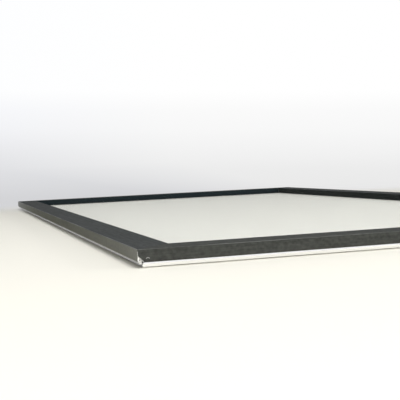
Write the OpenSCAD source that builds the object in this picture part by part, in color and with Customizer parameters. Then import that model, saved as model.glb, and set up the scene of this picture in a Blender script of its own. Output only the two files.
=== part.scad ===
// Snap frame for posters: a hinged cover rail snaps shut over each side of the sheet

/* [Format] */
// Width of the poster that the frame holds
poster_w = 400; // [250:10:700]
// Length of the poster that the frame holds
poster_l = 800; // [300:10:1200]
// How far a cover rail reaches over the edge of the poster
poster_grip = 10; // [8:0.5:11]

/* [Cover rail] */
// Width of a cover rail seen from the front
rail_w = 25; // [24:0.5:34]
// Height of the closed frame
frame_h = 11.2; // [11:0.2:15]
// Wall thickness of a cover rail
cover_t = 1.2; // [1:0.1:1.3]
// Rounding of the long outer edges of a cover rail
edge_r = 0.5; // [0.3:0.1:0.8]
// Height of the cover's lower edge above the wall or table
cover_foot_z = 3.3; // [3:0.1:4]
// Gap between two covers along a rail, at each end
cover_mitre_gap = 0.15; // [0.1:0.05:0.5]

/* [Hinge] */
// Radius of the bead along the cover's lower edge
bead_r = 1.4; // [1.3:0.05:1.6]
// Radius of the hollow core of the bead
bead_core_r = 0.3; // [0.2:0.05:0.6]
// Radial play of the bead in the cup of the base rail
bead_play = 0.05; // [0.03:0.01:0.1]
// Wall thickness of the cup
cup_t = 0.8; // [0.7:0.05:1]

/* [Base rail] */
// Setback of the base rail's foot from the cover's outer face
foot_u = 3.5; // [3.4:0.1:4]
// Wall thickness of the base rail
base_t = 1.2; // [1:0.1:1.5]
// Distance that the cover reaches inwards past the base rail's floor
floor_setback = 1; // [0.5:0.1:3]
// Thickness of the two ribs that hold the corner keys
rib_t = 1; // [0.8:0.1:1.4]

/* [Sheets] */
// Thickness of the back panel
panel_t = 2.2; // [1.5:0.1:3]
// Thickness of the clear front sheet
sheet_t = 0.6; // [0.3:0.1:1]
// Gap between the closed cover's lip and the clear sheet
lip_gap = 0.15; // [0.1:0.05:0.4]

/* [Springs] */
// Length of a leaf spring along the rail
spring_l = 30; // [15:1:50]
// Thickness of the spring strip
spring_t = 0.4; // [0.3:0.05:0.5]
// Radius of the spring's bend at the middle of the strip
spring_r = 2.9; // [2.5:0.1:3.2]
// Number of springs in a short rail
short_springs = 2; // [2:1:4]
// Number of springs in a long rail
long_springs = 4; // [2:1:6]
// Distance from the frame's corner to the middle of the first spring
spring_inset = 85; // [75:1:95]

/* [Corner keys] */
// Width of a leg of the corner key
key_w = 6; // [5:0.5:6.5]
// Thickness of the corner key
key_t = 2; // [1.6:0.1:2.4]
// Length of a leg, from the middle of the other leg
key_leg = 40; // [30:1:50]
// Radius of a set screw
screw_r = 2; // [1.5:0.25:2]
// Length of a set screw
screw_l = 3; // [2.6:0.2:3.4]

/* [Wall holes] */
// Radius of a hole for a wall screw
wall_hole_r = 2.1; // [1.5:0.1:2.5]
// Radius of the clearance for the wall screw's head
head_r = 3.5; // [3:0.1:3.7]
// Distance from the frame's corner to a wall hole, along the long rail
wall_hole_inset = 120; // [110:1:130]

/* [Hidden] */
$fn = 48;

// Overrun of every cut
overrun = 1;

// Whole frame
poster_inset = rail_w - poster_grip;
outer_w = poster_w + 2 * poster_inset;
outer_l = poster_l + 2 * poster_inset;
underside_z = frame_h - cover_t;

// Hinge line, measured inwards and upwards from the cover's lower outer edge
hinge_u = bead_r;
hinge_z = cover_foot_z + bead_r;
cup_in_r = bead_r + bead_play;
cup_out_r = cup_in_r + cup_t;

// The cup is open towards the cover's wall, which swings through its mouth
mouth_gap = 0.15;
mouth_u = cover_t + mouth_gap;
mouth_angle = 8;
mouth_cut = 2 * cup_out_r;

// The web under the cup, with the hollow that keeps its walls even
web_drop = 0.4;
web_hole_r = 0.5;
web_hole_u = foot_u - 0.4 * web_hole_r;
web_hole_z = cover_foot_z - 0.3 * web_hole_r;

// Step along the foot's outer lower edge: it leaves a thin shadow line over the wall or table
foot_step_h = 0.45;
foot_step_w = 3;

// Cover rail
lip_foot_z = base_t + panel_t + sheet_t + lip_gap;
inner_fillet_r = 0.6;

// Hook along the top of the base rail's wall, for the springs
wall_gap = 1.8;
wall_top_z = underside_z - wall_gap;
hook_t = 0.6;
hook_pocket = 0.9;
hook_depth = 0.6;
hook_end_u = foot_u + base_t + hook_pocket + hook_t;

// Channel for the corner keys, set against the edge of the back panel
panel_gap = 0.4;
key_gap = 0.1;
key_lift = 0.2;
screw_gap = 0.15;
key_lip_t = 0.8;
inner_rib_u = poster_inset - panel_gap - rib_t;
channel_w = key_w + 2 * key_gap;
key_lip_w = channel_w / 2 - screw_r - screw_gap;
channel_u = inner_rib_u - channel_w;
channel_mid_u = channel_u + channel_w / 2;
channel_top_z = base_t + key_t + key_lift;
rib_top_z = channel_top_z + key_lip_t;

// Springs: a hook over the base rail, a bend, and a leg that ends in the cover's groove
spring_fit = 0.1;
spring_gap = 0.3;
hook_mid_u = hook_end_u - hook_t / 2;
hook_mid_z = wall_top_z - hook_t / 2;
spring_hook_r = hook_t / 2 + spring_fit;
spring_tail = hook_depth - hook_t / 2 - spring_fit;
bend_u = hook_mid_u + spring_hook_r + spring_t / 2 + spring_r;
bend_z = rib_top_z + spring_gap + spring_t / 2 + spring_r;
groove_u = bend_u + spring_r;
groove_w = spring_t + 2 * spring_fit;
groove_depth = 0.8;
groove_rib_t = 0.7;

// Ends of the short cover rails, cut away so that the long ones can swing
bead_end_gap = 0.8;
bead_start = hinge_u + bead_r + bead_end_gap;
notch_l = 4.5;
notch_rise = 4.2;
base_mitre_gap = 0.05;

// Corner keys and set screws
key_chamfer = 1;
screw_play = 0.05;
screw_shares = [0.35, 0.8];
socket_across = 2;
socket_sides = 6;
socket_depth = 1.4;
screw_chamfer = 0.3;

// Fills the inside corner at the origin with a fillet
module corner_fill(r) {
  difference() {
    translate([-r, -r]) square(2 * r);
    translate([r, r]) circle(r = r);
    translate([0, r]) square([r + overrun, r + overrun]);
    translate([r, 0]) square([r + overrun, r + overrun]);
  }
}

// What a rounding of the outside corner takes away, seen from the centre of the rounding
module corner_cut(r) {
  difference() {
    square(r + overrun);
    circle(r = r);
  }
}

// Cover rail, cut across: flat top, outer wall with the hinge bead, inner lip, spring groove
module cover_section() {
  difference() {
    union() {
      translate([0, underside_z]) square([rail_w, cover_t]);
      translate([0, hinge_z]) square([cover_t, frame_h - hinge_z]);
      translate([hinge_u, hinge_z]) circle(r = bead_r);
      translate([rail_w - cover_t / 2, lip_foot_z + cover_t / 2]) circle(d = cover_t);
      translate([rail_w - cover_t, lip_foot_z + cover_t / 2])
        square([cover_t, frame_h - lip_foot_z - cover_t / 2]);
      translate([cover_t, underside_z]) mirror([0, 1]) corner_fill(inner_fillet_r);
      translate([rail_w - cover_t, underside_z]) rotate(180) corner_fill(inner_fillet_r);
      for (side = [-1, 1])
        translate([groove_u + side * (groove_w + groove_rib_t) / 2, underside_z - groove_depth / 2])
          square([groove_rib_t, groove_depth + cover_t], center = true);
    }
    translate([edge_r, frame_h - edge_r]) mirror([1, 0]) corner_cut(edge_r);
    translate([rail_w - edge_r, frame_h - edge_r]) corner_cut(edge_r);
    translate([hinge_u, hinge_z]) circle(r = bead_core_r);
  }
}

// Hook that the springs hang on
module hook_section() {
  translate([foot_u, wall_top_z - hook_depth - hook_t]) square([hook_end_u - foot_u, hook_t]);
  translate([hook_end_u - hook_t, wall_top_z - hook_depth - hook_t])
    square([hook_t, hook_depth + hook_t / 2]);
  translate([hook_mid_u, hook_mid_z]) circle(d = hook_t);
}

// Two ribs with lips that hold a corner key down
module channel_section() {
  for (side = [0, 1])
    translate([channel_mid_u, 0]) mirror([side, 0]) {
      translate([channel_w / 2, 0]) square([rib_t, rib_top_z]);
      translate([channel_w / 2 - key_lip_w, channel_top_z]) square([key_lip_w + rib_t, key_lip_t]);
    }
}

// Cup that holds the cover's bead, with the web that carries it
module cup_section() {
  difference() {
    union() {
      translate([hinge_u, hinge_z]) circle(r = cup_out_r);
      polygon([
        [hinge_u, hinge_z - cup_out_r],
        [foot_u + base_t / 2, hinge_z - cup_out_r - web_drop],
        [foot_u + base_t / 2, hinge_z],
        [hinge_u, hinge_z]
      ]);
    }
    translate([hinge_u, hinge_z]) circle(r = cup_in_r);
    translate([web_hole_u, web_hole_z]) circle(r = web_hole_r);
    polygon([
      [mouth_u, hinge_z + mouth_cut],
      [mouth_u, hinge_z],
      [hinge_u - mouth_cut * sin(mouth_angle), hinge_z - mouth_cut * cos(mouth_angle)],
      [hinge_u - mouth_cut, hinge_z - mouth_cut],
      [hinge_u - mouth_cut, hinge_z + mouth_cut]
    ]);
  }
}

// Base rail, cut across: floor, wall, cup, spring hook and key channel
module base_section() {
  cup_section();
  difference() {
    union() {
      translate([foot_u, 0]) square([base_t, wall_top_z]);
      translate([foot_u, 0]) square([rail_w - floor_setback - foot_u, base_t]);
      hook_section();
      channel_section();
    }
    translate([web_hole_u, web_hole_z]) circle(r = web_hole_r);
    translate([foot_u - overrun, -overrun]) square([foot_step_w + overrun, foot_step_h + overrun]);
  }
}

// Spring strip, cut across
module spring_section() {
  difference() {
    translate([hook_mid_u, hook_mid_z]) circle(r = spring_hook_r + spring_t);
    translate([hook_mid_u, hook_mid_z]) circle(r = spring_hook_r);
    translate([hook_mid_u - rail_w / 2, hook_mid_z - rail_w]) square(rail_w);
  }
  translate([hook_mid_u - spring_hook_r - spring_t, hook_mid_z - spring_tail])
    square([spring_t, spring_tail]);
  translate([hook_mid_u + spring_hook_r, bend_z]) square([spring_t, hook_mid_z - bend_z]);
  difference() {
    translate([bend_u, bend_z]) circle(r = spring_r + spring_t / 2);
    translate([bend_u, bend_z]) circle(r = spring_r - spring_t / 2);
    translate([bend_u - rail_w / 2, bend_z]) square(rail_w);
  }
  translate([groove_u - spring_t / 2, bend_z])
    square([spring_t, underside_z - spring_fit - bend_z]);
}

// Extrudes a section along the rail, with the outer face on the X axis
module bar(len) {
  rotate([90, 0, 90]) linear_extrude(height = len, center = true) children();
}

// Cuts both ends of a rail at 45 degrees
module mitred(len, gap) {
  half = len / 2 - gap;
  intersection() {
    children();
    translate([0, 0, -overrun]) linear_extrude(height = frame_h + 2 * overrun)
      polygon([
        [-half - overrun, -overrun],
        [half + overrun, -overrun],
        [half - rail_w - overrun, rail_w + overrun],
        [-half + rail_w + overrun, rail_w + overrun]
      ]);
  }
}

// Puts a cut at both ends of a rail, measured from the frame's corner
module at_ends(len) {
  for (end = [0, 1])
    mirror([end, 0, 0]) translate([-len / 2, 0, 0]) children();
}

// Hole in the floor for a wall screw, with room above it for the head
module wall_hole() {
  translate([wall_hole_inset, channel_mid_u, -overrun]) cylinder(r = wall_hole_r, h = base_t + 2 * overrun);
  translate([wall_hole_inset, channel_mid_u, base_t]) cylinder(r = head_r, h = rib_top_z);
}

// What the end of a short cover rail loses: a slanted corner of the wall and a piece of the bead
module cover_end_cut() {
  translate([0, cover_t, 0]) rotate([90, 0, 0])
    linear_extrude(height = cover_t + overrun)
      polygon([
        [-overrun, cover_foot_z - overrun],
        [notch_l, cover_foot_z - overrun],
        [notch_l, cover_foot_z],
        [0, cover_foot_z + notch_rise],
        [-overrun, cover_foot_z + notch_rise]
      ]);
  translate([-overrun, cover_t, cover_foot_z - overrun])
    cube([bead_start + overrun, 2 * bead_r, 2 * bead_r + 2 * overrun]);
}

module cover_rail(len, notched) {
  color([0.26, 0.27, 0.26])
    difference() {
      mitred(len, cover_mitre_gap) bar(len) cover_section();
      if (notched) at_ends(len) cover_end_cut();
    }
}

// The cup of a short base rail stops short of the corner, as the bead does
module base_rail(len, short) {
  color([0.82, 0.83, 0.84])
    difference() {
      mitred(len, base_mitre_gap) bar(len) base_section();
      if (short)
        at_ends(len)
          translate([-overrun, -overrun, -overrun]) cube([bead_start + overrun, foot_u + overrun, frame_h]);
      else
        at_ends(len) wall_hole();
    }
}

module leaf_springs(len, count) {
  pitch = (len - 2 * spring_inset) / (count - 1);
  color([0.55, 0.57, 0.6])
    for (i = [0 : count - 1])
      translate([spring_inset - len / 2 + i * pitch, 0, 0]) bar(spring_l) spring_section();
}

// Places of the set screws along both legs of a key
module at_screws() {
  for (share = screw_shares) {
    translate([key_leg * share, 0, 0]) children();
    translate([0, key_leg * share, 0]) children();
  }
}

// Corner key about the crossing of its two legs
module corner_key() {
  half = key_w / 2;
  color([0.68, 0.69, 0.7])
    translate([channel_mid_u, channel_mid_u, channel_top_z - key_t])
      difference() {
        linear_extrude(height = key_t)
          polygon([
            [-half + key_chamfer, -half],
            [key_leg - key_chamfer, -half],
            [key_leg, -half + key_chamfer],
            [key_leg, half - key_chamfer],
            [key_leg - key_chamfer, half],
            [half, half],
            [half, key_leg - key_chamfer],
            [half - key_chamfer, key_leg],
            [-half + key_chamfer, key_leg],
            [-half, key_leg - key_chamfer],
            [-half, -half + key_chamfer]
          ]);
        translate([0, 0, -overrun]) at_screws() cylinder(r = screw_r + screw_play, h = key_t + 2 * overrun);
      }
}

// Set screw with a chamfer at both ends and a six-sided socket
module set_screw() {
  difference() {
    rotate_extrude()
      polygon([
        [0, 0],
        [screw_r - screw_chamfer, 0],
        [screw_r, screw_chamfer],
        [screw_r, screw_l - screw_chamfer],
        [screw_r - screw_chamfer, screw_l],
        [0, screw_l]
      ]);
    translate([0, 0, screw_l - socket_depth])
      cylinder(d = socket_across / cos(180 / socket_sides), h = socket_depth + overrun, $fn = socket_sides);
  }
}

// Set screws: they stand on the base rail's floor and lift the key against the lips
module key_screws() {
  color([0.3, 0.3, 0.32])
    translate([channel_mid_u, channel_mid_u, base_t]) at_screws() set_screw();
}

// Sides in turn: front, right, back, left
module place_side(turns, span) {
  rotate([0, 0, 90 * turns]) translate([0, -span / 2, 0]) children();
}

module place_corner(right, back) {
  mirror([right, 0, 0]) mirror([0, back, 0]) translate([-outer_w / 2, -outer_l / 2, 0]) children();
}

module base_rail_front() { place_side(0, outer_l) base_rail(outer_w, true); }
module base_rail_back() { place_side(2, outer_l) base_rail(outer_w, true); }
module base_rail_left() { place_side(3, outer_w) base_rail(outer_l, false); }
module base_rail_right() { place_side(1, outer_w) base_rail(outer_l, false); }

module cover_rail_front() { place_side(0, outer_l) cover_rail(outer_w, true); }
module cover_rail_back() { place_side(2, outer_l) cover_rail(outer_w, true); }
module cover_rail_left() { place_side(3, outer_w) cover_rail(outer_l, false); }
module cover_rail_right() { place_side(1, outer_w) cover_rail(outer_l, false); }

module leaf_springs_front() { place_side(0, outer_l) leaf_springs(outer_w, short_springs); }
module leaf_springs_back() { place_side(2, outer_l) leaf_springs(outer_w, short_springs); }
module leaf_springs_left() { place_side(3, outer_w) leaf_springs(outer_l, long_springs); }
module leaf_springs_right() { place_side(1, outer_w) leaf_springs(outer_l, long_springs); }

module corner_key_front_left() { place_corner(0, 0) corner_key(); }
module corner_key_front_right() { place_corner(1, 0) corner_key(); }
module corner_key_back_left() { place_corner(0, 1) corner_key(); }
module corner_key_back_right() { place_corner(1, 1) corner_key(); }

module key_screws_front_left() { place_corner(0, 0) key_screws(); }
module key_screws_front_right() { place_corner(1, 0) key_screws(); }
module key_screws_back_left() { place_corner(0, 1) key_screws(); }
module key_screws_back_right() { place_corner(1, 1) key_screws(); }

module back_panel() {
  color([0.9, 0.9, 0.88])
    translate([-poster_w / 2, -poster_l / 2, base_t]) cube([poster_w, poster_l, panel_t]);
}

module clear_sheet() {
  color([0.93, 0.95, 0.96, 0.35])
    translate([-poster_w / 2, -poster_l / 2, base_t + panel_t]) cube([poster_w, poster_l, sheet_t]);
}

base_rail_front();
base_rail_back();
base_rail_left();
base_rail_right();
cover_rail_front();
cover_rail_back();
cover_rail_left();
cover_rail_right();
leaf_springs_front();
leaf_springs_back();
leaf_springs_left();
leaf_springs_right();
corner_key_front_left();
corner_key_front_right();
corner_key_back_left();
corner_key_back_right();
key_screws_front_left();
key_screws_front_right();
key_screws_back_left();
key_screws_back_right();
back_panel();
clear_sheet();
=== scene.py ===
# %% [markdown]
# # A snap frame, finished in Blender
# The frame lies closed on a white table. Its construction comes ready from the CAD model: base rails,
# hinged cover rails, corner keys, a back panel and a clear sheet. This lesson sets the camera and the
# light, makes the springs and screws that only show when a cover is open, and gives each surface the
# finish that the real one has.

# %% Load the frame
import math
import bmesh
import bpy
from mathutils import Matrix, Vector


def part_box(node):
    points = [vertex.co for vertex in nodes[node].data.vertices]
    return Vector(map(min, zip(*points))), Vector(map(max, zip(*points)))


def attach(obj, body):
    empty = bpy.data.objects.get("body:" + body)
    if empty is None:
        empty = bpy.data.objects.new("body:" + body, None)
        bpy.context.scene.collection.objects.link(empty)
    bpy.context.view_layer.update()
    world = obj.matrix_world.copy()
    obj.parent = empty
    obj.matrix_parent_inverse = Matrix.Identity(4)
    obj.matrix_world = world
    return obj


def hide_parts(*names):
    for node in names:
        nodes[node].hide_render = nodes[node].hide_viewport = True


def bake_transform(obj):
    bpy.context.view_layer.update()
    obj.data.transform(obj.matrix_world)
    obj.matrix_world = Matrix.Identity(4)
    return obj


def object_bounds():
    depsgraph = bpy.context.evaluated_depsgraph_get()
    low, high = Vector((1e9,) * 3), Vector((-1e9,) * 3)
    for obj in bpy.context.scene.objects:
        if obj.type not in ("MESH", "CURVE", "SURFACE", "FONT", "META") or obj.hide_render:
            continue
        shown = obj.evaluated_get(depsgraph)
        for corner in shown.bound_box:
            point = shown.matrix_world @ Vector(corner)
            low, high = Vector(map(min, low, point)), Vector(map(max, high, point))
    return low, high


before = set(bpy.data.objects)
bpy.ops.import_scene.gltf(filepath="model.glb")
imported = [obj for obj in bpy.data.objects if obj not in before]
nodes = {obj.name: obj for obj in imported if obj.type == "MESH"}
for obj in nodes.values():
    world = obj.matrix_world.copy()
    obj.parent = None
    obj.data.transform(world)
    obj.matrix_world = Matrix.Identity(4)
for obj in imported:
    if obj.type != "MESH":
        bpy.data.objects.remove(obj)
cad_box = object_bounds()
MM = 0.001
SIDES = ("front", "back", "left", "right")
CORNERS = ("front_left", "front_right", "back_left", "back_right")


def in_mm(corners):
    """The corners of a box in millimetres, to the nearest micrometre."""
    return [[round(v / MM, 3) for v in corner] for corner in corners]


half_width, half_length, frame_height = in_mm(cad_box)[1]
print("half width, half length and height in mm:", half_width, half_length, frame_height)

# %% [markdown]
# ## Camera
# The photo was taken from just above the table, with a slight tilt. The camera's place, its three angles
# and the lens were worked out once from the photo's straight edges: the outer and inner edges of the
# rails, and the line where they meet the table. So the values here are real sizes, in millimetres and
# degrees, and the picture lines up without any shift of the lens. An unturned camera looks straight down,
# so it is rolled about its view, then raised by a right angle less its dip, and last turned to the side.

# %% Set the camera
CAMERA_PLACE = (-319.7, -905.8, 61.0)
CAMERA_YAW = 16.29
CAMERA_DIP = 2.615
CAMERA_ROLL = -2.43
LENS = 78.7
SENSOR = 36

camera_data = bpy.data.cameras.new("camera")
camera_data.sensor_width = SENSOR
camera_data.lens = LENS
camera_data.clip_start = 1 * MM
camera = bpy.data.objects.new("camera", camera_data)
turn = (Matrix.Rotation(math.radians(-CAMERA_YAW), 4, "Z")
        @ Matrix.Rotation(math.radians(90 - CAMERA_DIP), 4, "X")
        @ Matrix.Rotation(math.radians(CAMERA_ROLL), 4, "Z"))
camera.matrix_world = Matrix.Translation(Vector(CAMERA_PLACE) * MM) @ turn
bpy.context.scene.collection.objects.link(camera)
bpy.context.scene.camera = camera
print("camera", [round(v, 3) for v in camera.location], "lens", LENS)

# %% [markdown]
# ## Background
# The photo has a pale paper sweep behind the table: a soft grey at the horizon that rises to white. A
# bent sheet of mesh could stand there, but it would be in the way of a view from behind. So the sweep is
# the sky itself: two colour ramps over the height, one for the left and one for the right, which is a
# little lighter. High above, the sky is dark, because most of the light has to come from the lamps.

# %% Helpers for numbers and colours
def link(tree, out, into):
    tree.links.new(out, into)


def dot(tree, vector, direction):
    node = tree.nodes.new("ShaderNodeVectorMath")
    node.operation = "DOT_PRODUCT"
    link(tree, vector, node.inputs[0])
    node.inputs[1].default_value = direction
    return node.outputs["Value"]


def map_range(tree, value, low, high, start=0.0, end=1.0, smooth=False):
    """Turns low..high into start..end."""
    node = tree.nodes.new("ShaderNodeMapRange")
    node.interpolation_type = "SMOOTHSTEP" if smooth else "LINEAR"
    node.inputs["From Min"].default_value = low
    node.inputs["From Max"].default_value = high
    node.inputs["To Min"].default_value = start
    node.inputs["To Max"].default_value = end
    link(tree, value, node.inputs["Value"])
    return node.outputs["Result"]


def ramp(tree, factor, stops):
    """A colour ramp through (place, colour) stops."""
    node = tree.nodes.new("ShaderNodeValToRGB")
    elements = node.color_ramp.elements
    while len(elements) < len(stops):
        elements.new(0.5)
    for element, (place, colour) in zip(elements, stops):
        element.position = place
        element.color = (*colour, 1)
    link(tree, factor, node.inputs["Fac"])
    return node.outputs["Color"]


def mix_colour(tree, factor, first, second, kind="MIX"):
    """Goes from the first colour to the second as the factor goes from 0 to 1."""
    node = tree.nodes.new("ShaderNodeMix")
    node.data_type = "RGBA"
    node.blend_type = kind
    if isinstance(factor, (int, float)):
        node.inputs["Factor"].default_value = factor
    else:
        link(tree, factor, node.inputs["Factor"])
    for socket, value in ((node.inputs["A"], first), (node.inputs["B"], second)):
        if isinstance(value, tuple):
            socket.default_value = (*value, 1)
        else:
            link(tree, value, socket)
    return node.outputs["Result"]


print("helpers for numbers and colours ready")

# %% Sky
UP_TILT = (0.045, 0.0, 1.0)
TO_THE_RIGHT = (1.0, 0.0, 0.0)
LIGHTER_SIDE = (0.05, 0.25)
LOWEST = -0.05
SKY_HEIGHTS = (-0.045, -0.02, 0.0, 0.024, 0.047, 0.069, 0.09, 0.22, 0.34, 1.0)
SKY_LEFT = (0.665, 0.715, 0.755, 0.83, 0.905, 0.945, 1.0, 1.0, 0.3, 0.22)
SKY_RIGHT = (0.80, 0.825, 0.84, 0.89, 0.935, 0.956, 1.0, 1.0, 0.3, 0.22)
COOL_TINT = (0.985, 0.992, 1.02)
PLAIN_TINT = (1.0, 1.0, 1.0)


def sky_ramp(tree, height, tones, tint):
    """A ramp through the tones at SKY_HEIGHTS, with a tint that stays within white."""
    places = [(h - LOWEST) / (1 - LOWEST) for h in SKY_HEIGHTS]
    colours = [tuple(min(1, tone * t) for t in tint) for tone in tones]
    return ramp(tree, height, list(zip(places, colours)))


def sky_colour(tree, direction):
    """The paper sweep's tone in a direction: lighter upwards and to the right, dark studio above it."""
    height = map_range(tree, dot(tree, direction, UP_TILT), LOWEST, 1)
    side = map_range(tree, dot(tree, direction, TO_THE_RIGHT), *LIGHTER_SIDE)
    left = sky_ramp(tree, height, SKY_LEFT, COOL_TINT)
    right = sky_ramp(tree, height, SKY_RIGHT, PLAIN_TINT)
    return mix_colour(tree, side, left, right)


bpy.context.scene.view_settings.view_transform = "Standard"
world = bpy.data.worlds.new("studio")
bpy.context.scene.world = world
world.use_nodes = True
sky_tree = world.node_tree
looking = sky_tree.nodes.new("ShaderNodeTexCoord").outputs["Generated"]
link(sky_tree, sky_colour(sky_tree, looking), sky_tree.nodes["Background"].inputs["Color"])
print("sky from", SKY_RIGHT[0], "to", max(SKY_RIGHT), "and", SKY_RIGHT[-1], "overhead")

# %% [markdown]
# ## Table
# The table is white with a little cream in it. The lamps only reach the front of it. Behind that it
# takes the sky's own tone, looked up a little under the horizon, so the two meet without a line, as on a
# paper sweep. Only what the camera sees of the table changes in this way, also in a mirror or through
# glass. The light that the table throws on the object stays plain. The table and the lamps are given in
# metres, and the frame itself in millimetres.

# %% Helpers for materials
def new_material(name):
    material = bpy.data.materials.new(name)
    material.use_nodes = True
    tree = material.node_tree
    return material, tree, tree.nodes["Principled BSDF"]


def object_place(tree, scale=(1, 1, 1), offset=(0, 0, 0)):
    """A point on the piece in metres, stretched by scale and moved by offset."""
    coordinates = tree.nodes.new("ShaderNodeTexCoord")
    mapping = tree.nodes.new("ShaderNodeMapping")
    mapping.inputs["Scale"].default_value = scale
    mapping.inputs["Location"].default_value = offset
    link(tree, coordinates.outputs["Object"], mapping.inputs["Vector"])
    return mapping.outputs["Vector"]


def place_from(tree, middle):
    """A point on the piece in metres, measured from a middle."""
    return object_place(tree, offset=tuple(-v for v in middle))


def math_node(tree, operation, first, second=None, clamp=False):
    node = tree.nodes.new("ShaderNodeMath")
    node.operation = operation
    node.use_clamp = clamp
    for socket, value in zip(node.inputs, (first, second)):
        if value is None:
            continue
        if isinstance(value, (int, float)):
            socket.default_value = value
        else:
            link(tree, value, socket)
    return node.outputs[0]


def product(tree, first, *others):
    for other in others:
        first = math_node(tree, "MULTIPLY", first, other)
    return first


def total(tree, first, *others):
    for other in others:
        first = math_node(tree, "ADD", first, other)
    return first


def dress(node, material):
    """Puts a material on a CAD node, in place of the one it came with."""
    nodes[node].data.materials.clear()
    nodes[node].data.materials.append(material)


print("helpers for materials ready")

# %% Table material
TABLE_CREAM = (0.972, 0.95, 0.86)
TABLE_ROUGHNESS = 0.6
TABLE_SHINE = 0.1
LIT_MIDDLE = (0.0, -0.6, 0.06)
FADE_START = 0.9
FADE_END = 1.2

table_material, tree, principled = new_material("white_table")
principled.inputs["Base Color"].default_value = (*TABLE_CREAM, 1)
principled.inputs["Roughness"].default_value = TABLE_ROUGHNESS
principled.inputs["Specular IOR Level"].default_value = TABLE_SHINE

from_middle = place_from(tree, LIT_MIDDLE)
length = tree.nodes.new("ShaderNodeVectorMath")
length.operation = "LENGTH"
link(tree, from_middle, length.inputs[0])
fade = map_range(tree, length.outputs["Value"], FADE_START, FADE_END, smooth=True)

outward = tree.nodes.new("ShaderNodeVectorMath")
outward.operation = "NORMALIZE"
link(tree, from_middle, outward.inputs[0])
far = tree.nodes.new("ShaderNodeEmission")
link(tree, sky_colour(tree, outward.outputs["Vector"]), far.inputs["Color"])

ray = tree.nodes.new("ShaderNodeLightPath")
seen = total(tree, *(ray.outputs[f"Is {kind} Ray"] for kind in ("Camera", "Glossy", "Transmission")))
sweep = tree.nodes.new("ShaderNodeMixShader")
link(tree, product(tree, fade, math_node(tree, "MINIMUM", seen, 1)), sweep.inputs["Fac"])
link(tree, principled.outputs["BSDF"], sweep.inputs[1])
link(tree, far.outputs["Emission"], sweep.inputs[2])
link(tree, sweep.outputs["Shader"], tree.nodes["Material Output"].inputs["Surface"])
print("table fades into the sky from", FADE_START, "to", FADE_END, "m")

# %% Table top
TABLE_SIZE = 100.0

half = TABLE_SIZE / 2
table_corners = [(-half, -half, 0), (half, -half, 0), (half, half, 0), (-half, half, 0)]
table_mesh = bpy.data.meshes.new("table")
table_mesh.from_pydata(table_corners, [], [(0, 1, 2, 3)])
table_mesh.materials.append(table_material)
table = bpy.data.objects.new("table", table_mesh)
bpy.context.scene.collection.objects.link(table)
print("table", TABLE_SIZE, "m wide")

# %% [markdown]
# ## Lamps
# A big soft box hangs over the front of the frame and gives most of the light. A small, slightly warm card
# stands low in front, on the left. It lights what looks forward: the front wall, the sawn corner and the
# near end of the left wall. The tops of the rails hardly see it, so they stay as dark as in the photo. A
# third card, lower than the box and in front on the right, is there for its soft shadow along the left rail.
# All three are area lamps, because a point or a spot would throw hard shadows, and the photo has none.

# %% Set the lamps
LAMPS = {
    "key_box": {"place": (0.0, -0.72, 1.55), "aim": (0.0, -0.15, 0.0), "size": (0.8, 0.9), "power": 17.2},
    "low_card": {"place": (-0.35, -1.3, 0.4), "aim": (-0.12, -0.4, 0.0), "size": (0.7, 0.4), "power": 2.7,
                 "colour": (1.0, 0.985, 0.94)},
    "right_card": {"place": (2.6, -1.7, 0.95), "aim": (0.0, -0.2, 0.0), "size": (1.0, 0.5), "power": 20},
}


def soft_box(name, place, aim, size, power, colour=(1, 1, 1)):
    """An area lamp that looks from its place to its aim."""
    data = bpy.data.lights.new(name, "AREA")
    data.shape = "RECTANGLE"
    data.size, data.size_y = size
    data.energy = power
    data.color = colour
    lamp = bpy.data.objects.new(name, data)
    lamp.location = place
    lamp.rotation_euler = (Vector(aim) - Vector(place)).to_track_quat("-Z", "Y").to_euler()
    bpy.context.scene.collection.objects.link(lamp)
    return lamp


lamps = [soft_box(name, **settings) for name, settings in LAMPS.items()]
print("lamps", [(lamp.name, round(lamp.data.energy, 1)) for lamp in lamps])

# %% [markdown]
# ## Finish of the cover rails
# The covers are extruded aluminium, anodised a dark graphite grey. Extruding and brushing leave fine
# lines along the rail. Drawn lines would need a picture that fits each rail, so the grain is a noise
# instead, stretched up to a hundred times along the rail's own direction, with a faint mottling over it.
# It has no seam and fits any length. The photo shows the long rails with cooler tops and warmer walls
# than the short ones. These are painted reflections of the light that they mirror, so each direction has
# its own tints: a cool one on the tops and a warm one on the walls of the long rails.

# %% Patterns along a rail
AXES = {"front": "X", "back": "X", "left": "Y", "right": "Y"}
ACROSS = {"X": "Y", "Y": "X"}
NOISE_SPAN = (0.3, 0.7)
CLOSE_SPAN = (0.35, 0.65)


def noise(tree, vector, scale, detail=4, roughness=0.5):
    node = tree.nodes.new("ShaderNodeTexNoise")
    node.inputs["Scale"].default_value = scale
    node.inputs["Detail"].default_value = detail
    node.inputs["Roughness"].default_value = roughness
    link(tree, vector, node.inputs["Vector"])
    return node.outputs["Fac"]


def drawn_noise(tree, axis, stretch, **settings):
    """A noise that is drawn out along the rail: the smaller the stretch, the longer its lines."""
    scale = (stretch, 1, 1) if axis == "X" else (1, stretch, 1)
    return noise(tree, object_place(tree, scale), **settings)


def two_tone(tree, factor, span, dark, light):
    """A colour that goes from dark to light over a span of the factor."""
    return ramp(tree, factor, list(zip(span, (dark, light))))


def bump(tree, height, principled, strength, distance):
    node = tree.nodes.new("ShaderNodeBump")
    node.inputs["Strength"].default_value = strength
    node.inputs["Distance"].default_value = distance
    link(tree, height, node.inputs["Height"])
    link(tree, node.outputs["Normal"], principled.inputs["Normal"])


print("pattern helpers ready for the axes", sorted(ACROSS))
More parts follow.
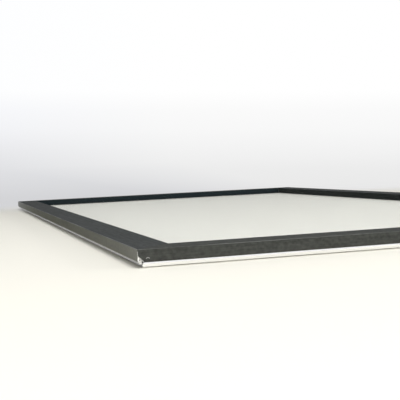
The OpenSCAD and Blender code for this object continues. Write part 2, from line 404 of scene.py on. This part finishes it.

# %% [markdown]
# ## Telling the faces of a rail apart
# One material covers a whole rail, and yet its faces differ. Painting them by hand would have to be done
# again after every change to the model, so the material finds each kind of face by the way it looks and by
# its place. The rails were sawn after anodising, and the saw left bare metal. Only a face that a saw or a
# drill left has a normal that leans along the rail. In the top plate the mitre seam is narrow and deep, and
# there the sawn faces keep the dark skin as painted shade, so only what lies below the plate is bare. The
# rounded outer edge faces up and out at once, and there the dark skin is painted lighter, partly as wear and
# partly as a painted highlight.

# %% Find the faces
SAWN_LEAN = 0.3
EDGE_SLANT = (0.15, 0.4)
UPRIGHT = (0.3, 0.7)


def facing(tree, axis):
    """How much the face looks along an axis of the piece, from -1 to 1."""
    coordinates = tree.nodes.new("ShaderNodeTexCoord")
    apart = tree.nodes.new("ShaderNodeSeparateXYZ")
    link(tree, coordinates.outputs["Normal"], apart.inputs["Vector"])
    return apart.outputs[axis]


def spot(tree, middle=(0, 0, 0)):
    """The X, Y and Z of a point on the piece in metres, measured from a middle."""
    apart = tree.nodes.new("ShaderNodeSeparateXYZ")
    link(tree, place_from(tree, middle), apart.inputs["Vector"])
    return apart.outputs


def unsigned(tree, value):
    return math_node(tree, "ABSOLUTE", value)


def sawn(tree, axis):
    """1 on faces that a saw or a drill left, 0 on the extruded ones."""
    return math_node(tree, "GREATER_THAN", unsigned(tree, facing(tree, axis)), SAWN_LEAN)


def below(tree, height):
    """1 under a height, 0 above it."""
    return math_node(tree, "LESS_THAN", spot(tree)["Z"], height)


def worn_and_highlit_edge(tree, axis):
    """1 along the rail's rounded outer edge, 0 on the flat faces."""
    outwards = unsigned(tree, facing(tree, ACROSS[axis]))
    return map_range(tree, product(tree, outwards, facing(tree, "Z")), *EDGE_SLANT)


def inner_lip(tree, axis, start):
    """1 on the upright inner lip of the rail, 0 elsewhere."""
    inside = math_node(tree, "LESS_THAN", unsigned(tree, spot(tree)[ACROSS[axis]]), start)
    upright = map_range(tree, unsigned(tree, facing(tree, ACROSS[axis])), *UPRIGHT)
    return product(tree, inside, upright)


def from_corner(tree, axis, half_rail):
    """Distance along the rail from its nearer end, in metres."""
    return math_node(tree, "SUBTRACT", half_rail, unsigned(tree, spot(tree)[axis]))


print("a face is sawn where it leans over", SAWN_LEAN, "along the rail")

# %% [markdown]
# ## A pale arc on the front wall
# Near the left corner the front wall has a small pale arc, painted into its colour and not modelled in the
# shape. It is the upper part of a ring around a point on the wall: every spot that is about a radius away
# from that point.

# %% Pale arc
PALE_ARC_FROM_CORNER = 6.0
PALE_ARC_HEIGHT = 5.2
PALE_ARC_RADIUS = 1.0
PALE_ARC_WIDTH = 0.2
PALE_ARC_CUT_OFF_SHARE = 0.3

pale_arc_middle = (PALE_ARC_FROM_CORNER - half_width, -half_length, PALE_ARC_HEIGHT)


def pale_arc(tree):
    """1 on the small pale arc on the front rail's outer wall."""
    place = spot(tree, tuple(v * MM for v in pale_arc_middle))
    x, y, z = (place[name] for name in "XYZ")
    distance = math_node(tree, "SQRT", total(tree, product(tree, x, x), product(tree, z, z)))
    off_arc = unsigned(tree, math_node(tree, "SUBTRACT", distance, PALE_ARC_RADIUS * MM))
    thin = math_node(tree, "LESS_THAN", off_arc, PALE_ARC_WIDTH * MM)
    upper = math_node(tree, "GREATER_THAN", z, PALE_ARC_RADIUS * PALE_ARC_CUT_OFF_SHARE * MM)
    near = math_node(tree, "LESS_THAN", unsigned(tree, y), PALE_ARC_RADIUS * MM)
    return product(tree, thin, upper, near)


print("nick at", pale_arc_middle, "mm")

# %% [markdown]
# ## Graphite finish
# Colour first: three noises added up give the grain, which the painted reflection tints, the edge that is
# partly worn and partly a painted highlight, the pale arc, the painted shade on the inner lip and the bare
# sawn faces then change in turn. The photo shows the inner lips of the far rails very dark and a little
# cool, and that shade is painted into their colour. Then the shine: the tops are brushed dull, the inner
# lips are matte, and the walls are smoother, and smoothest near the corners, where hands open the covers.

# %% Colour of the graphite
GRAPHITE_DARK = (0.021, 0.023, 0.020)
GRAPHITE_LIGHT = (0.055, 0.058, 0.052)
FINE_GRAIN = {"stretch": 0.012, "scale": 2600, "detail": 6, "roughness": 0.65}
BROAD_GRAIN = {"stretch": 0.03, "scale": 420, "detail": 3, "roughness": 0.6}
MOTTLING = {"stretch": 0.8, "scale": 480, "detail": 2}
FINE_SHARE = 0.45
BROAD_SHARE = 0.33
MOTTLING_SHARE = 0.22
UPWARD = (0.3, 0.9)
# Painted reflection tints: cool on the tops and warm on the walls of the long rails.
TOP_PAINTED_REFLECTION_TINT = {"X": (1.0, 1.0, 1.0), "Y": (0.95, 0.99, 1.1)}
WALL_PAINTED_REFLECTION_TINT = {"X": (1.0, 1.0, 1.0), "Y": (1.06, 1.08, 0.62)}
# Lighter along the rounded outer edge: partly wear, partly a painted highlight.
WORN_AND_HIGHLIT_EDGE = (0.14, 0.143, 0.137)
RUBBED_AND_HIGHLIT_SPAN = (0.35, 0.6)
PALE_ARC_TONE = (0.3, 0.3, 0.29)
# Painted shade on the inner lip: how much of it, and its cool near-black tone.
LIP_PAINTED_SHADE_SHARE = 0.85
LIP_PAINTED_SHADE_TONE = {"X": (0.001, 0.009, 0.013), "Y": (0.003, 0.0065, 0.009)}
BARE_CUT = (0.95, 0.95, 0.94)
# Painted shade: in this top part of the sawn seam the faces keep the dark skin.
PAINTED_SEAM_SHADE_DEPTH = 1.3

painted_seam_shade_bottom = (frame_height - PAINTED_SEAM_SHADE_DEPTH) * MM


def graphite_skin(tree, axis, fine, broad):
    """The anodised skin: grain and mottling, with painted reflection tints, and lighter along the outer
    edge, partly rubbed through and partly a painted highlight.
    """
    mottling = map_range(tree, drawn_noise(tree, axis, **MOTTLING), *NOISE_SPAN)
    layers = ((fine, FINE_SHARE), (broad, BROAD_SHARE), (mottling, MOTTLING_SHARE))
    lines = total(tree, *[product(tree, layer, share) for layer, share in layers])
    skin = two_tone(tree, lines, CLOSE_SPAN, GRAPHITE_DARK, GRAPHITE_LIGHT)
    # Painted reflection: on the long rails the tops are tinted cool and the walls warm.
    upward = map_range(tree, facing(tree, "Z"), *UPWARD)
    tint = mix_colour(tree, upward, WALL_PAINTED_REFLECTION_TINT[axis], TOP_PAINTED_REFLECTION_TINT[axis])
    skin = mix_colour(tree, 1, skin, tint, "MULTIPLY")
    # The outer edge is painted lighter: partly wear, partly a painted highlight.
    rubbed_and_highlit = product(tree, worn_and_highlit_edge(tree, axis), map_range(tree, broad, *RUBBED_AND_HIGHLIT_SPAN))
    return mix_colour(tree, rubbed_and_highlit, skin, WORN_AND_HIGHLIT_EDGE)


def graphite_colour(tree, axis, fine, broad, lip):
    """The skin with its pale arc and the painted shade on its lip, and bare metal where the saw went
    through, below the painted shade at the top of the seam.
    """
    skin = mix_colour(tree, pale_arc(tree), graphite_skin(tree, axis, fine, broad), PALE_ARC_TONE)
    # Painted shade: the inner lip is darkened to a cool near-black.
    skin = mix_colour(tree, product(tree, lip, LIP_PAINTED_SHADE_SHARE), skin, LIP_PAINTED_SHADE_TONE[axis])
    # Bare metal on the sawn faces, but the top of the seam keeps the dark skin as painted shade.
    cut = product(tree, sawn(tree, axis), below(tree, painted_seam_shade_bottom))
    return mix_colour(tree, cut, skin, BARE_CUT)


print("bare cuts below", round(painted_seam_shade_bottom / MM, 2), "mm")

# %% Shine of the graphite
BRUSHED_TOP = 0.92
LEVEL = (0.9, 0.99)
MATTE_LIP = 0.9
LIP_REACH = 1.0
DRAWN_WALL = 0.66
HANDLED_WALL = 0.35
HANDLED_LENGTH = 380
HANDLED_POWER = 0.5
CLOUDS = {"stretch": 0.3, "scale": 60, "detail": 3}
UNEVEN = 0.03
GRAPHITE_SHINE = 0.3
GRAIN_RELIEF = (0.25, 0.05 * MM)

half_rails = {"X": half_width * MM, "Y": half_length * MM}
lip_starts = {"X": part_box("cover_rail_back")[0].y + LIP_REACH * MM,
              "Y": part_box("cover_rail_right")[0].x + LIP_REACH * MM}


def graphite_roughness(tree, axis, lip):
    """Dull brushed tops, matte lips, and walls that hands have smoothed towards the corners."""
    reach = from_corner(tree, axis, half_rails[axis])
    reach = math_node(tree, "DIVIDE", reach, HANDLED_LENGTH * MM, clamp=True)
    handled = math_node(tree, "POWER", reach, HANDLED_POWER)
    wall = map_range(tree, handled, 0, 1, HANDLED_WALL, DRAWN_WALL)
    top = map_range(tree, facing(tree, "Z"), *LEVEL, 0, BRUSHED_TOP)
    matte = math_node(tree, "MAXIMUM", product(tree, lip, MATTE_LIP), top)
    clouds = map_range(tree, drawn_noise(tree, axis, **CLOUDS), *NOISE_SPAN, -UNEVEN, UNEVEN)
    return total(tree, math_node(tree, "MAXIMUM", wall, matte), clouds)


def graphite(axis):
    material, tree, principled = new_material(f"graphite_{axis.lower()}")
    fine = drawn_noise(tree, axis, **FINE_GRAIN)
    broad = drawn_noise(tree, axis, **BROAD_GRAIN)
    lip = inner_lip(tree, axis, lip_starts[axis])
    link(tree, graphite_colour(tree, axis, fine, broad, lip), principled.inputs["Base Color"])
    link(tree, graphite_roughness(tree, axis, lip), principled.inputs["Roughness"])
    principled.inputs["Specular IOR Level"].default_value = GRAPHITE_SHINE
    bump(tree, fine, principled, *GRAIN_RELIEF)
    return material


graphites = {axis: graphite(axis) for axis in ACROSS}
for side in SIDES:
    dress(f"cover_rail_{side}", graphites[AXES[side]])
print("graphite on", len(SIDES), "cover rails")

# %% [markdown]
# ## Bare aluminium of the base rails
# The base rails are the same kind of extrusion with no colour on it, with faint lines from the die along
# the rail. From outside only the foot and the lower lip of the hinge cup show, as a strip under the dark
# cover. The photo shows that strip bright and smooth on the short rails and a soft grey on the long ones,
# where it mirrors the shade on the table beside them. So the long rails are given a satin finish, and their
# colour is painted about half as bright, as painted shade. A sawn end scatters the light so widely that it
# looks pale from every side. Rough metal renders too dark for that, so the sawn ends are a plain pale
# surface with saw marks.

# %% Bare aluminium
ALUMINIUM_DARK = (0.92, 0.92, 0.915)
ALUMINIUM_LIGHT = (0.97, 0.97, 0.965)
# Painted shade: the long rails' aluminium is painted about half as bright, for the shade it mirrors.
ALUMINIUM_PAINTED_SHADE = {"X": 1.0, "Y": 0.52}
POLISH = {"X": (0.07, 0.13), "Y": (0.45, 0.55)}
DIE_LINES = {"stretch": 0.012, "scale": 1800, "detail": 5, "roughness": 0.6}
SAW_MARKS = {"scale": 900, "detail": 3, "roughness": 0.6}
SAW_SQUEEZE = (1, 1, 12)
SAWN_ROUGHNESS = 0.5
DIE_RELIEF = (0.2, 0.05 * MM)


def with_painted_shade(colour, axis):
    return tuple(tone * ALUMINIUM_PAINTED_SHADE[axis] for tone in colour)


def bare_aluminium(axis):
    material, tree, principled = new_material(f"bare_aluminium_{axis.lower()}")
    die_lines = drawn_noise(tree, axis, **DIE_LINES)
    saw_marks = noise(tree, object_place(tree, SAW_SQUEEZE), **SAW_MARKS)
    cut = sawn(tree, axis)
    # The long rails' skin carries the painted shade.
    skin = two_tone(tree, die_lines, NOISE_SPAN, with_painted_shade(ALUMINIUM_DARK, axis), with_painted_shade(ALUMINIUM_LIGHT, axis))
    sawn_end = two_tone(tree, saw_marks, NOISE_SPAN, ALUMINIUM_DARK, ALUMINIUM_LIGHT)
    link(tree, mix_colour(tree, cut, skin, sawn_end), principled.inputs["Base Color"])
    polished = map_range(tree, die_lines, *NOISE_SPAN, *POLISH[axis])
    rough = math_node(tree, "MAXIMUM", polished, product(tree, cut, SAWN_ROUGHNESS))
    link(tree, rough, principled.inputs["Roughness"])
    link(tree, math_node(tree, "SUBTRACT", 1, cut), principled.inputs["Metallic"])
    bump(tree, die_lines, principled, *DIE_RELIEF)
    return material


aluminiums = {axis: bare_aluminium(axis) for axis in ACROSS}
for side in SIDES:
    dress(f"base_rail_{side}", aluminiums[AXES[side]])
print("bare aluminium on", len(SIDES), "base rails")

# %% [markdown]
# ## Back panel and clear sheet
# No poster is in the frame. The pale field is the white back panel under the clear anti-glare sheet,
# which softens what it mirrors. The panel is plain matte plastic with the faintest mottling. The sheet
# could be made as glass that bends the light, which renders slowly and looks no different on a sheet this
# thin. So it is a surface that lets most of the light straight through and keeps a soft shine.

# %% Back panel
PANEL_WHITE = (0.878, 0.88, 0.82)
PANEL_SHADE = (0.858, 0.86, 0.80)
PANEL_CLOUDS = {"scale": 35, "detail": 4}
PANEL_ROUGHNESS = 0.7

panel_material, tree, principled = new_material("white_panel")
clouds = noise(tree, object_place(tree), **PANEL_CLOUDS)
link(tree, two_tone(tree, clouds, CLOSE_SPAN, PANEL_SHADE, PANEL_WHITE), principled.inputs["Base Color"])
principled.inputs["Roughness"].default_value = PANEL_ROUGHNESS
dress("back_panel", panel_material)
print("panel from", PANEL_SHADE, "to", PANEL_WHITE)

# %% Clear sheet
SHEET_TINT = (0.93, 0.93, 0.90)
SHEET_ALPHA = 0.14
SHEET_TOOTH = {"scale": 2200, "detail": 3, "roughness": 0.6}
SHEET_SHINE = (0.34, 0.42)
SHEET_RELIEF = (0.1, 0.02 * MM)

sheet_material, tree, principled = new_material("clear_sheet")
tooth = noise(tree, object_place(tree), **SHEET_TOOTH)
link(tree, map_range(tree, tooth, *NOISE_SPAN, *SHEET_SHINE), principled.inputs["Roughness"])
principled.inputs["Base Color"].default_value = (*SHEET_TINT, 1)
principled.inputs["Alpha"].default_value = SHEET_ALPHA
bump(tree, tooth, principled, *SHEET_RELIEF)
dress("clear_sheet", sheet_material)
print("sheet with alpha", SHEET_ALPHA)

# %% [markdown]
# ## Metal inside the frame
# Three small metal parts hide under the covers: zinc-plated corner keys, spring steel and blackened set
# screws. A single flat grey would look like plastic. None of them is polished, so one function gives each
# its own colour and a fine speckle in that colour and in its roughness.

# %% Inner metal finishes
SPECKLE = {"scale": 900, "detail": 4}
SPECKLE_SHADE = 0.85
SPECKLE_ROUGHNESS = (-0.05, 0.1)
SPECKLE_RELIEF = (0.1, 0.02 * MM)


def plain_metal(name, colour, rough):
    material, tree, principled = new_material(name)
    speckle = noise(tree, object_place(tree), **SPECKLE)
    dark = tuple(channel * SPECKLE_SHADE for channel in colour)
    link(tree, two_tone(tree, speckle, CLOSE_SPAN, dark, colour), principled.inputs["Base Color"])
    roughness = map_range(tree, speckle, *NOISE_SPAN, *(rough + change for change in SPECKLE_ROUGHNESS))
    link(tree, roughness, principled.inputs["Roughness"])
    principled.inputs["Metallic"].default_value = 1
    bump(tree, speckle, principled, *SPECKLE_RELIEF)
    return material


spring_steel = plain_metal("spring_steel", (0.45, 0.47, 0.5), 0.3)
zinc = plain_metal("zinc", (0.6, 0.61, 0.62), 0.45)
black_oxide = plain_metal("black_oxide", (0.06, 0.06, 0.065), 0.4)
for corner in CORNERS:
    dress(f"corner_key_{corner}", zinc)
print("zinc on", len(CORNERS), "corner keys")

# %% [markdown]
# ## Helpers for pieces that repeat
# Geometry Nodes make a piece once and set it down as often as the frame needs it. A small start mesh
# holds only a line or a few points; the tree turns it into metal. The result is then kept as a plain mesh
# for each side or corner, and the screws hang on the frame's body.

# %% Helpers for geometry trees
WELD = 0.001 * MM


def new_tree(name, inputs):
    """A geometry tree with named inputs for sizes, and the nodes for what goes in and comes out."""
    tree = bpy.data.node_groups.new(name, "GeometryNodeTree")
    tree.interface.new_socket("Geometry", in_out="INPUT", socket_type="NodeSocketGeometry")
    for label, kind in inputs:
        tree.interface.new_socket(label, in_out="INPUT", socket_type=f"NodeSocket{kind}")
    tree.interface.new_socket("Geometry", in_out="OUTPUT", socket_type="NodeSocketGeometry")
    return tree, tree.nodes.new("NodeGroupInput").outputs, tree.nodes.new("NodeGroupOutput").inputs


def add(tree, kind, links=(), **settings):
    """A node with its settings, and its inputs linked or set by name."""
    node = tree.nodes.new(kind)
    for key, value in settings.items():
        setattr(node, key, value)
    for label, value in dict(links).items():
        if isinstance(value, bpy.types.NodeSocket):
            link(tree, value, node.inputs[label])
        else:
            node.inputs[label].default_value = value
    return node


def finish_tree(tree, geometry, material, group_out):
    """Makes the copies real, gives them their material and hands them out."""
    realized = add(tree, "GeometryNodeRealizeInstances", {"Geometry": geometry})
    painted = add(tree, "GeometryNodeSetMaterial", {"Geometry": realized.outputs[0], "Material": material})
    link(tree, painted.outputs[0], group_out["Geometry"])


def clean(mesh):
    """Merges doubles and turns the faces outwards."""
    shell = bmesh.new()
    shell.from_mesh(mesh)
    bmesh.ops.remove_doubles(shell, verts=shell.verts, dist=WELD)
    bmesh.ops.recalc_face_normals(shell, faces=shell.faces)
    shell.to_mesh(mesh)
    shell.free()


def grow(name, points, edges, tree, values, place=Matrix.Identity(4)):
    """Runs a tree on a start mesh and keeps the result as a plain mesh, put in its place."""
    start = bpy.data.meshes.new(name)
    start.from_pydata(points, edges, [])
    thing = bpy.data.objects.new(name, start)
    bpy.context.scene.collection.objects.link(thing)
    modifier = thing.modifiers.new(name, "NODES")
    modifier.node_group = tree
    sockets = [item for item in tree.interface.items_tree if item.in_out == "INPUT"]
    identifiers = {item.name: item.identifier for item in sockets}
    for label, value in values.items():
        modifier[identifiers[label]] = value
    evaluated = thing.evaluated_get(bpy.context.evaluated_depsgraph_get())
    mesh = bpy.data.meshes.new_from_object(evaluated)
    thing.modifiers.clear()
    mesh.transform(place)
    clean(mesh)
    thing.data = mesh
    return thing


print("geometry helpers ready")

# %% [markdown]
# ## Leaf springs
# Bent strips of spring steel snap each cover open or shut. The strip hooks over the top of the base
# rail's wall, bends down through the channel and ends in a groove under the cover. An outline pushed out
# along the rail would do, but it would need both sides of every bend. So the start mesh is only the
# middle line of the strip, seen along the rail; the tree sweeps a flat section with rounded edges along
# it, which keeps the steel equally thick, and repeats the strip along the rail. A spring bends when its
# cover swings, but this one keeps its closed shape.

# %% Middle line of a spring
STRIP_THICKNESS = 0.4
RAIL_HOOK_RADIUS = 0.3
HOOK_FIT = 0.1
HOOK_TAIL = 0.2
BEND_RADIUS = 2.9
BEND_HEIGHT = 7.6
ARC_STEPS = 20

springs_low, springs_high = in_mm(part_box("leaf_springs_front"))
rail_top = in_mm(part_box("base_rail_front"))[1][2]
hook_side = half_length + springs_low[1]
hook_radius = RAIL_HOOK_RADIUS + HOOK_FIT + STRIP_THICKNESS / 2
hook_middle = (hook_side + STRIP_THICKNESS / 2 + hook_radius, rail_top - RAIL_HOOK_RADIUS)
hook_inward = hook_middle[0] + hook_radius
bend_middle = (hook_inward + BEND_RADIUS, BEND_HEIGHT)
leg_inward = bend_middle[0] + BEND_RADIUS


def arc(middle, radius, start, end):
    """Points on an arc from start to end, in degrees."""
    angles = [math.radians(start + (end - start) * i / ARC_STEPS) for i in range(ARC_STEPS + 1)]
    return [(middle[0] + radius * math.cos(a), middle[1] + radius * math.sin(a)) for a in angles]


spring_line = [(hook_middle[0] - hook_radius, hook_middle[1] - HOOK_TAIL)]
spring_line += arc(hook_middle, hook_radius, 180, 0)
spring_line += arc(bend_middle, BEND_RADIUS, 180, 360)
spring_line.append((leg_inward, springs_high[2]))
spring_points = [(0, inward * MM, up * MM) for inward, up in spring_line]
spring_edges = [(i, i + 1) for i in range(len(spring_points) - 1)]
print("spring line with", len(spring_points), "points")

# %% Tree for the springs
spring_tree, given, result = new_tree("spring_row", (
    ("Strip length", "Float"), ("Strip thickness", "Float"), ("Edge rounding", "Float"),
    ("Count", "Int"), ("First place", "Vector"), ("Spacing", "Vector")))
line = add(spring_tree, "GeometryNodeMeshToCurve", {"Mesh": given["Geometry"]})
flat = add(spring_tree, "GeometryNodeCurvePrimitiveQuadrilateral",
           {"Width": given["Strip length"], "Height": given["Strip thickness"]})
rounded = add(spring_tree, "GeometryNodeFilletCurve",
              {"Curve": flat.outputs[0], "Radius": given["Edge rounding"], "Limit Radius": True})
strip = add(spring_tree, "GeometryNodeCurveToMesh",
            {"Curve": line.outputs[0], "Profile Curve": rounded.outputs[0], "Fill Caps": True})
row = add(spring_tree, "GeometryNodeMeshLine",
          {"Count": given["Count"], "Start Location": given["First place"], "Offset": given["Spacing"]})
springs = add(spring_tree, "GeometryNodeInstanceOnPoints",
              {"Points": row.outputs[0], "Instance": strip.outputs[0]})
finish_tree(spring_tree, springs.outputs[0], spring_steel, result)
print("spring tree with", len(spring_tree.nodes), "nodes")

# %% Set the springs along the rails
STRIP_LENGTH = 30
EDGE_ROUNDING = 0.12
SPRING_COUNTS = {"front": 2, "back": 2, "left": 4, "right": 4}
TURNS = {"front": 0, "right": 1, "back": 2, "left": 3}
OUTER_FACES = {"front": half_length, "back": half_length, "left": half_width, "right": half_width}


def side_place(side):
    """Turns a piece that is drawn along X, with the rail's outer face at y 0, onto its side of the frame."""
    turn = Matrix.Rotation(math.radians(90 * TURNS[side]), 4, "Z")
    return turn @ Matrix.Translation((0, -OUTER_FACES[side] * MM, 0))


def last_spring_end(side):
    """How far a side's row of springs reaches along its rail, from the middle."""
    return in_mm(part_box(f"leaf_springs_{side}"))[1]["XY".index(AXES[side])]


for side, count in SPRING_COUNTS.items():
    first = STRIP_LENGTH / 2 - last_spring_end(side)
    spacing = -2 * first / (count - 1)
    sizes = {"Strip length": STRIP_LENGTH * MM, "Strip thickness": STRIP_THICKNESS * MM,
             "Edge rounding": EDGE_ROUNDING * MM, "Count": count,
             "First place": (first * MM, 0, 0), "Spacing": (spacing * MM, 0, 0)}
    piece = grow(f"springs_{side}", spring_points, spring_edges, spring_tree, sizes, side_place(side))
    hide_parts(f"leaf_springs_{side}")
    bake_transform(piece)
    print(piece.name, count, "springs,", spacing, "mm apart,", len(piece.data.polygons), "faces")

# %% [markdown]
# ## Set screws
# Four small set screws stand in the holes of each corner key. Turned with a hex key, they press on the
# base rail's floor and lift the key against the channel's lips, and so lock the corner. The start mesh is
# just their four places. The tree makes one threaded screw from a cylinder, whose rings it pulls in and
# out, sinks a hexagonal socket in its top and puts a copy in each place. A true thread is a helix, but on
# a screw of 3 mm under a cover, rings look the same and need far fewer faces.

# %% Threaded body of a screw
SCREW_CORNERS = 24

screw_tree, given, result = new_tree("set_screw_group", (
    ("Radius", "Float"), ("Length", "Float"), ("Thread depth", "Float"), ("Thread rings", "Int"),
    ("Socket across corners", "Float"), ("Socket depth", "Float")))
body = add(screw_tree, "GeometryNodeMeshCylinder",
           {"Vertices": SCREW_CORNERS, "Side Segments": given["Thread rings"],
            "Radius": given["Radius"], "Depth": given["Length"]})
position = add(screw_tree, "GeometryNodeInputPosition").outputs[0]
height = add(screw_tree, "ShaderNodeSeparateXYZ", {"Vector": position}).outputs["Z"]
share = math_node(screw_tree, "DIVIDE", height, given["Length"])
ring = product(screw_tree, total(screw_tree, share, 0.5), given["Thread rings"])
crest = math_node(screw_tree, "MODULO", math_node(screw_tree, "ROUND", ring), 2)
depth_share = math_node(screw_tree, "DIVIDE", given["Thread depth"], given["Radius"])
pull = product(screw_tree, math_node(screw_tree, "SUBTRACT", 1, crest), depth_share)
narrow = math_node(screw_tree, "SUBTRACT", 1, pull)
scale = add(screw_tree, "ShaderNodeCombineXYZ", {"X": narrow, "Y": narrow, "Z": 1.0}).outputs[0]
pulled = add(screw_tree, "ShaderNodeVectorMath", {0: position, 1: scale}, operation="MULTIPLY").outputs[0]
thread = add(screw_tree, "GeometryNodeSetPosition",
             {"Geometry": body.outputs["Mesh"], "Position": pulled})
print("threaded body with", len(screw_tree.nodes), "nodes")

# %% Socket, and a screw in each place
hexagon = add(screw_tree, "GeometryNodeMeshCylinder",
              {"Vertices": 6, "Radius": product(screw_tree, given["Socket across corners"], 0.5),
               "Depth": product(screw_tree, given["Socket depth"], 2)})
half_screw = product(screw_tree, given["Length"], 0.5)
lift = add(screw_tree, "ShaderNodeCombineXYZ", {"Z": half_screw}).outputs[0]
sunk = add(screw_tree, "GeometryNodeTransform",
           {"Geometry": hexagon.outputs["Mesh"], "Translation": lift})
screw = add(screw_tree, "GeometryNodeMeshBoolean",
            {"Mesh 1": thread.outputs[0], "Mesh 2": sunk.outputs[0]}, operation="DIFFERENCE", solver="EXACT")
standing = add(screw_tree, "GeometryNodeTransform",
               {"Geometry": screw.outputs["Mesh"], "Translation": lift})
placed = add(screw_tree, "GeometryNodeInstanceOnPoints",
             {"Points": given["Geometry"], "Instance": standing.outputs[0]})
finish_tree(screw_tree, placed.outputs[0], black_oxide, result)
print("screw tree with", len(screw_tree.nodes), "nodes")

# %% Set the screws down
SCREW_RADIUS = 2
SCREW_LENGTH = 3
NEAR_SCREW = 14
SCREW_SIZES = {"Radius": SCREW_RADIUS * MM, "Length": SCREW_LENGTH * MM, "Thread depth": 0.3 * MM,
               "Thread rings": 10, "Socket across corners": 2.31 * MM, "Socket depth": 1.4 * MM}


def screw_places(corner):
    """The four places along both legs of a corner's key, from the crossing of the legs."""
    low, high = in_mm(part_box(f"key_screws_{corner}"))
    back, right = corner.startswith("back"), corner.endswith("right")
    outward_x, outward_y = (1 if right else -1), (1 if back else -1)
    crossing_x = high[0] - SCREW_RADIUS if right else low[0] + SCREW_RADIUS
    crossing_y = high[1] - SCREW_RADIUS if back else low[1] + SCREW_RADIUS
    far_screw = high[0] - low[0] - 2 * SCREW_RADIUS
    reaches = (NEAR_SCREW, far_screw)
    places = [(crossing_x - outward_x * reach, crossing_y, low[2]) for reach in reaches]
    places += [(crossing_x, crossing_y - outward_y * reach, low[2]) for reach in reaches]
    return [tuple(v * MM for v in place) for place in places]


for corner in CORNERS:
    places = screw_places(corner)
    piece = grow(f"set_screws_{corner}", places, [], screw_tree, SCREW_SIZES)
    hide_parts(f"key_screws_{corner}")
    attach(piece, "frame")
    print(piece.name, len(places), "screws,", len(piece.data.polygons), "faces")
